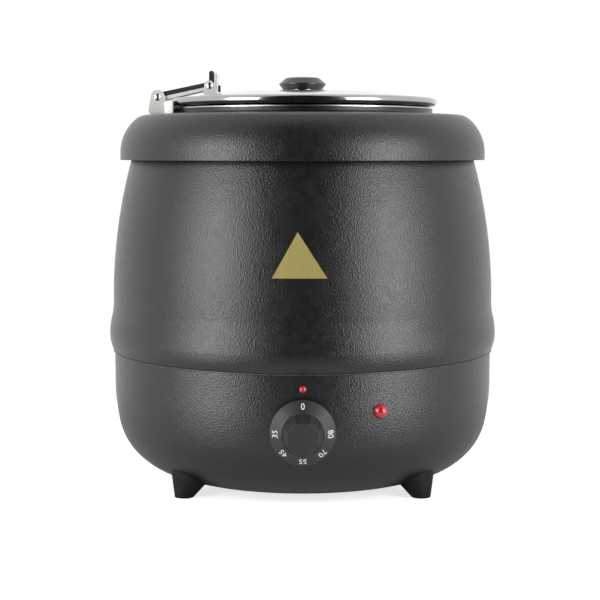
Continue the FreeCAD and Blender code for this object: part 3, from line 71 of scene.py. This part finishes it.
class Shader:
    """A material with a Principled shader and short calls for the nodes that feed it."""

    def __init__(self, name, color, roughness, metallic=0.0, specular=0.5):
        self.material = bpy.data.materials.new(name)
        self.material.use_nodes = True
        self.tree = self.material.node_tree
        self.surface = self.tree.nodes["Principled BSDF"]
        self.set("Base Color", (*color, 1.0))
        self.set("Roughness", roughness)
        self.set("Metallic", metallic)
        self.set("Specular IOR Level", specular)
        self.place = self.node("ShaderNodeTexCoord").outputs["Object"]
        self.normal = None

    def set(self, socket, value):
        self.surface.inputs[socket].default_value = value

    def node(self, kind, **settings):
        node = self.tree.nodes.new(kind)
        for name, value in settings.items():
            setattr(node, name, value)
        return node

    def link(self, source, target):
        self.tree.links.new(source, target)

    def stretch(self, scale):
        """Object coordinates stretched by a scale along each axis."""
        mapping = self.node("ShaderNodeMapping")
        mapping.inputs["Scale"].default_value = scale
        self.link(self.place, mapping.inputs["Vector"])
        return mapping.outputs["Vector"]

    def noise(self, scale, detail=3.0, roughness=0.5, vector=None):
        node = self.node("ShaderNodeTexNoise")
        node.inputs["Scale"].default_value = scale
        node.inputs["Detail"].default_value = detail
        node.inputs["Roughness"].default_value = roughness
        self.link(vector or self.place, node.inputs["Vector"])
        return node.outputs["Fac"]

    def cells(self, scale, vector=None, smoothness=0.4):
        node = self.node("ShaderNodeTexVoronoi", feature="SMOOTH_F1")
        node.inputs["Scale"].default_value = scale
        node.inputs["Smoothness"].default_value = smoothness
        self.link(vector or self.place, node.inputs["Vector"])
        return node.outputs["Distance"]

    def math(self, operation, first, second):
        node = self.node("ShaderNodeMath", operation=operation)
        for socket, value in zip(node.inputs, (first, second)):
            if isinstance(value, (int, float)):
                socket.default_value = value
            else:
                self.link(value, socket)
        return node.outputs["Value"]

    def spread(self, factor, low, high):
        """A factor from about 0.3 to 0.7 carried to the range from low to high."""
        node = self.node("ShaderNodeMapRange")
        node.inputs["From Min"].default_value = 0.3
        node.inputs["From Max"].default_value = 0.7
        node.inputs["To Min"].default_value = low
        node.inputs["To Max"].default_value = high
        self.link(factor, node.inputs["Value"])
        return node.outputs["Result"]

    def vary_roughness(self, factor, low, high):
        self.link(self.spread(factor, low, high), self.surface.inputs["Roughness"])

    def vary_color(self, factor, dark, light):
        ramp = self.node("ShaderNodeValToRGB")
        ramp.color_ramp.elements[0].position = 0.3
        ramp.color_ramp.elements[1].position = 0.7
        ramp.color_ramp.elements[0].color = (*dark, 1.0)
        ramp.color_ramp.elements[1].color = (*light, 1.0)
        self.link(factor, ramp.inputs["Fac"])
        self.link(ramp.outputs["Color"], self.surface.inputs["Base Color"])

    def two_tone(self, factor, low, high):
        """One colour where a factor is 0 and another where it is 1."""
        tint = self.node("ShaderNodeMix", data_type="RGBA")
        self.link(factor, tint.inputs["Factor"])
        tint.inputs["A"].default_value = (*low, 1.0)
        tint.inputs["B"].default_value = (*high, 1.0)
        self.link(tint.outputs["Result"], self.surface.inputs["Base Color"])

    def bump(self, height, strength, distance):
        node = self.node("ShaderNodeBump")
        node.inputs["Strength"].default_value = strength
        node.inputs["Distance"].default_value = distance
        self.link(height, node.inputs["Height"])
        if self.normal:
            self.link(self.normal, node.inputs["Normal"])
        self.normal = node.outputs["Normal"]
        self.link(self.normal, self.surface.inputs["Normal"])

    def soft_edges(self, radius):
        """Rounds the look of sharp edges by a small radius."""
        node = self.node("ShaderNodeBevel", samples=6)
        node.inputs["Radius"].default_value = radius
        self.normal = node.outputs["Normal"]
        self.link(self.normal, self.surface.inputs["Normal"])

    def axis_distance(self):
        """Distance of a point from the kettle's upright axis."""
        parts = self.node("ShaderNodeSeparateXYZ")
        self.link(self.place, parts.inputs["Vector"])
        square_x = self.math("MULTIPLY", parts.outputs["X"], parts.outputs["X"])
        square_y = self.math("MULTIPLY", parts.outputs["Y"], parts.outputs["Y"])
        return self.math("SQRT", self.math("ADD", square_x, square_y), 0.0)


# Materials, one for each finish of the record

FINE_DEPTH = 0.03 * MM
PLASTIC_DEPTH = 0.06 * MM
RING_DEPTH = 0.02 * MM
COATING_EDGE = 0.9 * MM
COATING_GRAIN_DEPTH = 0.3 * MM
COATING_FINE_DEPTH = 0.12 * MM


def black_coating():
    """Black powder coating with a fine leather-like grain."""
    s = Shader("black_coating", (0.006, 0.006, 0.0062), 0.32, specular=0.62)
    s.soft_edges(COATING_EDGE)
    wander = s.noise(140.0, 2.0)
    grain = s.cells(860.0)
    fine = s.noise(1700.0, 2.0)
    s.vary_color(wander, (0.005, 0.005, 0.0052), (0.007, 0.007, 0.0072))
    s.vary_roughness(wander, 0.29, 0.35)
    s.bump(grain, 0.7, COATING_GRAIN_DEPTH)
    s.bump(fine, 0.4, COATING_FINE_DEPTH)
    return s.material


EDGE_DEPTH = 0.1 * MM


def worn_edge():
    """The coating where it thins over a rolled edge, with a dull metal sheen."""
    s = Shader("worn_edge", (0.07, 0.07, 0.07), 0.34, metallic=0.6)
    wear = s.noise(160.0, 3.0)
    s.vary_color(wear, (0.05, 0.05, 0.05), (0.09, 0.09, 0.09))
    s.vary_roughness(wear, 0.28, 0.4)
    s.bump(s.noise(1700.0, 2.0), 0.2, EDGE_DEPTH)
    return s.material


def sheet_steel(name, color, roughness, scratch_scale, strength):
    """Stainless sheet with fine drawn lines."""
    s = Shader(name, color, roughness, metallic=1.0)
    lines = s.noise(1.0, 2.0, vector=s.stretch(scratch_scale))
    s.vary_roughness(lines, roughness * 0.8, roughness * 1.25)
    s.bump(lines, strength, FINE_DEPTH)
    return s.material


# Height of the lid below which its rolled rim is given painted shade.
RIM_TOP = 331.4 * MM


def spun_steel(name, color, rim_shade_color, roughness):
    """Polished stainless steel with faint spun rings, and painted shade on the rolled rim: a darker colour
    below RIM_TOP.
    """
    s = Shader(name, color, roughness, metallic=1.0)
    height = s.node("ShaderNodeSeparateXYZ")
    s.link(s.place, height.inputs["Vector"])
    # Painted shade: below RIM_TOP the lid takes a darker colour, standing in for the rolled rim mirroring the
    # black collar.
    above = s.math("GREATER_THAN", height.outputs["Z"], RIM_TOP)
    s.two_tone(above, rim_shade_color, color)
    rings = s.node("ShaderNodeTexNoise", noise_dimensions="1D")
    rings.inputs["Scale"].default_value = 1800.0
    s.link(s.axis_distance(), rings.inputs["W"])
    cloud = s.noise(25.0, 3.0)
    s.vary_roughness(cloud, roughness * 0.75, roughness * 1.35)
    s.bump(rings.outputs["Fac"], 0.06, RING_DEPTH)
    return s.material


def moulded_plastic(name, color, low, high, grain_scale, strength, specular, edge):
    """Moulded plastic or rubber with a fine eroded skin."""
    s = Shader(name, color, low, specular=specular)
    s.soft_edges(edge)
    cloud = s.noise(60.0, 3.0)
    s.vary_roughness(cloud, low, high)
    s.bump(s.noise(grain_scale, 3.0), strength, PLASTIC_DEPTH)
    return s.material


LENS_GLOW = (2.0 * MM, 0.4 * MM, 0.4 * MM)
LENS_DEPTH = 0.05 * MM


def red_lens():
    """Clear red resin, glossy over a warmer core."""
    s = Shader("red_lens", (0.38, 0.01, 0.014), 0.12)
    s.vary_color(s.noise(420.0, 2.0), (0.34, 0.008, 0.012), (0.44, 0.014, 0.018))
    s.set("Coat Weight", 1.0)
    s.set("Coat Roughness", 0.3)
    s.set("Subsurface Weight", 0.15)
    s.set("Subsurface Radius", LENS_GLOW)
    s.bump(s.noise(500.0, 2.0), 0.05, LENS_DEPTH)
    return s.material


def print_white():
    """White ink, a little uneven."""
    s = Shader("print_white", (0.75, 0.75, 0.74), 0.5)
    s.vary_color(s.noise(900.0, 3.0), (0.66, 0.66, 0.65), (0.8, 0.8, 0.79))
    s.bump(s.noise(2500.0, 2.0), 0.1, FINE_DEPTH)
    return s.material


def plate_brass():
    """Satin brass foil with fine upright brushing."""
    s = Shader("plate_brass", (0.78, 0.67, 0.245), 0.36, metallic=0.35)
    lines = s.noise(1.0, 2.0, vector=s.stretch((2400.0, 2400.0, 60.0)))
    s.vary_color(lines, (0.73, 0.625, 0.22), (0.83, 0.715, 0.27))
    s.vary_roughness(s.noise(90.0, 3.0), 0.3, 0.42)
    s.bump(lines, 0.08, FINE_DEPTH)
    return s.material


ARM_ROOT = Vector((-126.0 * MM, 0, 332.8 * MM))
ARM_SLOPE = math.radians(12.2)
ARM_DARK_TOP_EDGE = -0.5 * MM
ARM_SIDE_COLOR = (0.95, 0.95, 0.94)
ARM_DARK_TOP_COLOR = (0.045, 0.045, 0.045)


def arm_steel():
    """Pale satin sides, coloured dark above a line that runs along the top and up the tail."""
    s = satin_steel("arm_steel", ARM_SIDE_COLOR, 0.42, 0.55)
    upward = Vector((-math.sin(ARM_SLOPE), 0, math.cos(ARM_SLOPE)))
    height = s.node("ShaderNodeVectorMath", operation="DOT_PRODUCT")
    height.inputs[1].default_value = upward
    s.link(s.place, height.inputs[0])
    # The arm takes a dark colour above this line, along its top and up the tail.
    edge = upward.dot(ARM_ROOT) + ARM_DARK_TOP_EDGE
    dark_top_mask = s.math("GREATER_THAN", height.outputs["Value"], edge)
    s.two_tone(dark_top_mask, ARM_SIDE_COLOR, ARM_DARK_TOP_COLOR)
    return s.material


HINGE_EDGE = 0.6 * MM


def satin_steel(name, color, roughness, metallic):
    """Satin stainless sheet with softened edges."""
    s = Shader(name, color, roughness, metallic=metallic)
    s.soft_edges(HINGE_EDGE)
    lines = s.noise(1.0, 2.0, vector=s.stretch((900.0, 80.0, 900.0)))
    s.vary_roughness(lines, roughness * 0.85, roughness * 1.15)
    s.bump(lines, 0.05, FINE_DEPTH)
    return s


# Sheet finishes: colour, roughness, scale of the drawn lines along each axis, and their strength

SHEETS = {
    "pot_steel": ((0.62, 0.62, 0.61), 0.3, (40.0, 40.0, 2200.0), 0.04),
    "pan_steel": ((0.55, 0.55, 0.54), 0.35, (300.0, 300.0, 30.0), 0.1),
    "plate_steel": ((0.5, 0.5, 0.5), 0.4, (700.0, 60.0, 700.0), 0.1),
    "zinc_fasteners": ((0.58, 0.58, 0.57), 0.32, (900.0, 900.0, 90.0), 0.1),
    "heater_sheath": ((0.42, 0.41, 0.4), 0.4, (500.0, 500.0, 500.0), 0.15),
    "capillary_copper": ((0.72, 0.43, 0.26), 0.3, (800.0, 80.0, 800.0), 0.1),
    "rivet_steel": ((0.68, 0.68, 0.67), 0.2, (700.0, 700.0, 700.0), 0.05),
}

# Plastic and rubber finishes: colour, lowest and highest roughness, grain scale and strength, gloss, edge

PLASTIC_EDGE = 0.5 * MM
DIAL_EDGE = 0.9 * MM
PLASTICS = {
    "foot_rubber": ((0.005, 0.005, 0.005), 0.5, 0.62, 900.0, 0.3, 0.25, PLASTIC_EDGE),
    "control_housing": ((0.03, 0.03, 0.03), 0.5, 0.6, 700.0, 0.2, 0.5, PLASTIC_EDGE),
    "lead_sleeve": ((0.55, 0.52, 0.46), 0.5, 0.6, 1500.0, 0.3, 0.5, PLASTIC_EDGE),
    "gland_plastic": ((0.018, 0.018, 0.018), 0.42, 0.52, 800.0, 0.2, 0.5, PLASTIC_EDGE),
    "dark_screw": ((0.03, 0.03, 0.03), 0.35, 0.45, 900.0, 0.1, 0.5, PLASTIC_EDGE),
    "knob_plastic": ((0.014, 0.014, 0.0145), 0.22, 0.3, 700.0, 0.1, 0.9, PLASTIC_EDGE),
    "dial_plastic": ((0.022, 0.022, 0.023), 0.36, 0.46, 1200.0, 0.15, 0.5, DIAL_EDGE),
}
LID_COLOR = (0.7, 0.7, 0.7)
# Painted shade for the lid's rolled rim, darker than the rest of the lid.
LID_RIM_SHADE_COLOR = (0.45, 0.45, 0.45)


def make_materials():
    finishes = {name: sheet_steel(name, *values) for name, values in SHEETS.items()}
    finishes.update((name, moulded_plastic(name, *values)) for name, values in PLASTICS.items())
    finishes["black_coating"] = black_coating()
    finishes["red_lens"] = red_lens()
    finishes["hinge_steel"] = satin_steel("hinge_steel", (0.9, 0.9, 0.87), 0.46, 0.75).material
    finishes["arm_steel"] = arm_steel()
    finishes["lid_steel"] = spun_steel("lid_steel", LID_COLOR, LID_RIM_SHADE_COLOR, 0.12)
    return finishes


def dress_nodes(finishes):
    """Gives each CAD node the material of its slot."""
    for part in frame["record"]["subparts"]:
        mesh = nodes[part["node"]].data
        mesh.materials.clear()
        mesh.materials.append(finishes[part["material_slot"]])


# Pieces added to the frame

def add_piece(name, mesh, material, body):
    mesh.materials.append(material)
    piece = bpy.data.objects.new(name, mesh)
    scene.collection.objects.link(piece)
    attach(piece, body)
    return piece


DIAL_NUMBERS = (("0", 0), ("80", 90), ("70", 135), ("55", 180), ("45", 225), ("35", 270))
NUMBER_SIZE = 8.3 * MM
NUMBER_WIDTH = 0.8
NUMBER_SPACING = 1.02
NUMBER_RADIUS = 21.4 * MM
NUMBER_RISE = 0.12 * MM
SKIRT_EDGE_RADIUS = 25.5 * MM
SKIRT_FACE_RADIUS = 17.0 * MM
SKIRT_EDGE_DEPTH = 3.0 * MM
SKIRT_FACE_DEPTH = 10.2 * MM


def number_mesh(name, text):
    """Raised digits in the XY plane, centred on the origin."""
    curve = bpy.data.curves.new(name, "FONT")
    curve.body = text
    curve.size = NUMBER_SIZE
    curve.space_character = NUMBER_SPACING
    curve.align_x = "CENTER"
    curve.align_y = "CENTER"
    curve.extrude = NUMBER_RISE
    holder = bpy.data.objects.new(name, curve)
    scene.collection.objects.link(holder)
    bpy.context.view_layer.update()
    shape = holder.evaluated_get(bpy.context.evaluated_depsgraph_get())
    mesh = bpy.data.meshes.new_from_object(shape)
    bpy.data.objects.remove(holder)
    mesh.transform(Matrix.Scale(NUMBER_WIDTH, 4, Vector((1, 0, 0))))
    return mesh


def add_dial_numbers(material):
    low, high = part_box("control_dial")
    centre = (low + high) / 2
    slope = (SKIRT_FACE_DEPTH - SKIRT_EDGE_DEPTH) / (SKIRT_EDGE_RADIUS - SKIRT_FACE_RADIUS)
    tilt = math.atan(slope)
    depth = SKIRT_EDGE_DEPTH + (SKIRT_EDGE_RADIUS - NUMBER_RADIUS) * slope
    for text, clock_angle in DIAL_NUMBERS:
        angle = math.radians(clock_angle)
        outward = Vector((math.sin(angle), 0, math.cos(angle)))
        front = Vector((0, -1, 0))
        up = outward * math.cos(tilt) - front * math.sin(tilt)
        facing = front * math.cos(tilt) + outward * math.sin(tilt)
        right = up.cross(facing)
        spot = Vector((centre.x, high.y, centre.z)) + outward * NUMBER_RADIUS + front * depth
        matrix = Matrix.Translation(spot) @ Matrix((right, up, facing)).transposed().to_4x4()
        mesh = number_mesh(f"dial_number_{text}", text)
        mesh.transform(matrix)
        add_piece(f"dial_number_{text}", mesh, material, "dial")


TRIANGLE_TOP = 223.8 * MM
TRIANGLE_BASE = 188.0 * MM
TRIANGLE_WIDTH = 43.0 * MM
TRIANGLE_CENTRE = -2.5 * MM
TRIANGLE_APEX_SHIFT = -1.5 * MM
TRIANGLE_LIFT = 0.35 * MM
TRIANGLE_STEPS = 24


def add_trim_plate(material):
    """A plain brass triangle laid on the front of the barrel."""
    shell = nodes["upper_shell"]
    bm = bmesh.new()
    rows = []
    for level in range(TRIANGLE_STEPS + 1):
        share = level / TRIANGLE_STEPS
        z = TRIANGLE_TOP + (TRIANGLE_BASE - TRIANGLE_TOP) * share
        row = []
        for step in range(level + 1):
            across = (step / level - 0.5) if level else 0.0
            middle = TRIANGLE_CENTRE + TRIANGLE_APEX_SHIFT * (1 - share)
            x = middle + TRIANGLE_WIDTH * share * across
            _, spot, normal, _ = shell.ray_cast(Vector((x, -1, z)), Vector((0, 1, 0)))
            row.append(bm.verts.new(spot + normal * TRIANGLE_LIFT))
        rows.append(row)
    for upper, lower in zip(rows, rows[1:]):
        for index in range(len(upper)):
            bm.faces.new((upper[index], lower[index], lower[index + 1]))
            if index + 1 < len(upper):
                bm.faces.new((upper[index], lower[index + 1], upper[index + 1]))
    bmesh.ops.solidify(bm, geom=bm.faces[:], thickness=TRIANGLE_LIFT)
    bmesh.ops.recalc_face_normals(bm, faces=bm.faces[:])
    mesh = bpy.data.meshes.new("trim_plate")
    bm.to_mesh(mesh)
    bm.free()
    add_piece("trim_plate", mesh, material, "kettle")


SEAM_LIP_RADIUS = 0.7 * MM
SEAM_LIP_CIRCLE = 166.5 * MM
SEAM_LIP_DROP = 0.75 * MM
SEAM_LIP_TURNS = 192
SEAM_LIP_SIDES = 12


def add_seam_lip(material, seam_height):
    """The rolled upper edge of the lower bowl, a thin ring under the bead."""
    bm = bmesh.new()
    rings = []
    for turn in range(SEAM_LIP_TURNS):
        around = 2 * math.pi * turn / SEAM_LIP_TURNS
        ring = []
        for side in range(SEAM_LIP_SIDES):
            angle = 2 * math.pi * side / SEAM_LIP_SIDES
            reach = SEAM_LIP_CIRCLE + SEAM_LIP_RADIUS * math.cos(angle)
            z = seam_height - SEAM_LIP_DROP + SEAM_LIP_RADIUS * math.sin(angle)
            ring.append(bm.verts.new((reach * math.cos(around), reach * math.sin(around), z)))
        rings.append(ring)
    for ring, following in zip(rings, rings[1:] + rings[:1]):
        for side in range(SEAM_LIP_SIDES):
            beside = (side + 1) % SEAM_LIP_SIDES
            face = bm.faces.new((ring[side], following[side], following[beside], ring[beside]))
            face.smooth = True
    bmesh.ops.recalc_face_normals(bm, faces=bm.faces[:])
    mesh = bpy.data.meshes.new("seam_lip")
    bm.to_mesh(mesh)
    bm.free()
    add_piece("seam_lip", mesh, material, "kettle")


# Stage: a pale round floor, white surroundings with a darker front, and two tall soft lights

FLOOR_RADIUS = 0.42
FLOOR_SIDES = 96
FLOOR_COLOR = (0.82, 0.82, 0.82)
FLOOR_LIFT = 0.72


def add_floor():
    """A disc that the camera sees as white apart from the kettle's soft shadow."""
    bm = bmesh.new()
    bmesh.ops.create_circle(bm, cap_ends=True, radius=FLOOR_RADIUS, segments=FLOOR_SIDES)
    mesh = bpy.data.meshes.new("floor")
    bm.to_mesh(mesh)
    bm.free()
    floor = bpy.data.objects.new("floor", mesh)
    scene.collection.objects.link(floor)
    material = bpy.data.materials.new("floor")
    material.use_nodes = True
    tree = material.node_tree
    surface = tree.nodes["Principled BSDF"]
    surface.inputs["Base Color"].default_value = (*FLOOR_COLOR, 1.0)
    surface.inputs["Roughness"].default_value = 0.9
    path = tree.nodes.new("ShaderNodeLightPath")
    lift = tree.nodes.new("ShaderNodeMath")
    lift.operation = "MULTIPLY"
    lift.inputs[1].default_value = FLOOR_LIFT
    tree.links.new(path.outputs["Is Camera Ray"], lift.inputs[0])
    surface.inputs["Emission Color"].default_value = (1.0, 1.0, 1.0, 1.0)
    tree.links.new(lift.outputs["Value"], surface.inputs["Emission Strength"])
    mesh.materials.append(material)


FRONT_LEVEL = 0.02
FRONT_EDGE = math.radians(27.0)
SIDE_EDGE = math.radians(58.0)


def world_math(tree, operation, *sources):
    node = tree.nodes.new("ShaderNodeMath")
    node.operation = operation
    for source, socket in zip(sources, node.inputs):
        tree.links.new(source, socket)
    return node.outputs["Value"]


def set_world():
    """White all round for the camera, with a dark strip in front for the coating to mirror."""
    world = bpy.data.worlds.new("studio")
    world.use_nodes = True
    scene.world = world
    tree = world.node_tree
    background = tree.nodes["Background"]
    coords = tree.nodes.new("ShaderNodeTexCoord")
    parts = tree.nodes.new("ShaderNodeSeparateXYZ")
    tree.links.new(coords.outputs["Generated"], parts.inputs["Vector"])
    aside = world_math(tree, "ABSOLUTE", parts.outputs["X"])
    ahead = world_math(tree, "MULTIPLY", parts.outputs["Y"])
    ahead.node.inputs[1].default_value = -1.0
    turn = world_math(tree, "ARCTAN2", aside, ahead)
    ramp = tree.nodes.new("ShaderNodeMapRange")
    ramp.interpolation_type = "SMOOTHSTEP"
    ramp.inputs["From Min"].default_value = FRONT_EDGE
    ramp.inputs["From Max"].default_value = SIDE_EDGE
    ramp.inputs["To Min"].default_value = FRONT_LEVEL
    ramp.inputs["To Max"].default_value = 1.0
    tree.links.new(turn, ramp.inputs["Value"])
    path = tree.nodes.new("ShaderNodeLightPath")
    seen = world_math(tree, "MAXIMUM", path.outputs["Is Camera Ray"], ramp.outputs["Result"])
    tree.links.new(seen, background.inputs["Strength"])
    background.inputs["Color"].default_value = (1.0, 1.0, 1.0, 1.0)


LIGHT_DISTANCE = 1.5
LIGHT_AZIMUTH = 50.0
LIGHT_SIZE = (0.75, 1.3)
LIGHT_POWER = 17.0
LIGHT_HEIGHT = 0.35


def add_softbox(name, azimuth):
    data = bpy.data.lights.new(name, "AREA")
    data.shape = "RECTANGLE"
    data.size = LIGHT_SIZE[0]
    data.size_y = LIGHT_SIZE[1]
    data.energy = LIGHT_POWER
    lamp = bpy.data.objects.new(name, data)
    angle = math.radians(azimuth - 90.0)
    target = Vector((0, 0, LIGHT_HEIGHT / 2))
    lamp.location = Vector((math.cos(angle) * LIGHT_DISTANCE, math.sin(angle) * LIGHT_DISTANCE, LIGHT_HEIGHT))
    lamp.rotation_euler = (target - lamp.location).to_track_quat("-Z", "Y").to_euler()
    scene.collection.objects.link(lamp)


scene.view_settings.view_transform = "Standard"
add_camera()
materials = make_materials()
dress_nodes(materials)
add_dial_numbers(print_white())
add_trim_plate(plate_brass())
add_seam_lip(worn_edge(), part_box("upper_shell")[0].z)
add_floor()
set_world()
add_softbox("softbox_left", -LIGHT_AZIMUTH)
add_softbox("softbox_right", LIGHT_AZIMUTH)
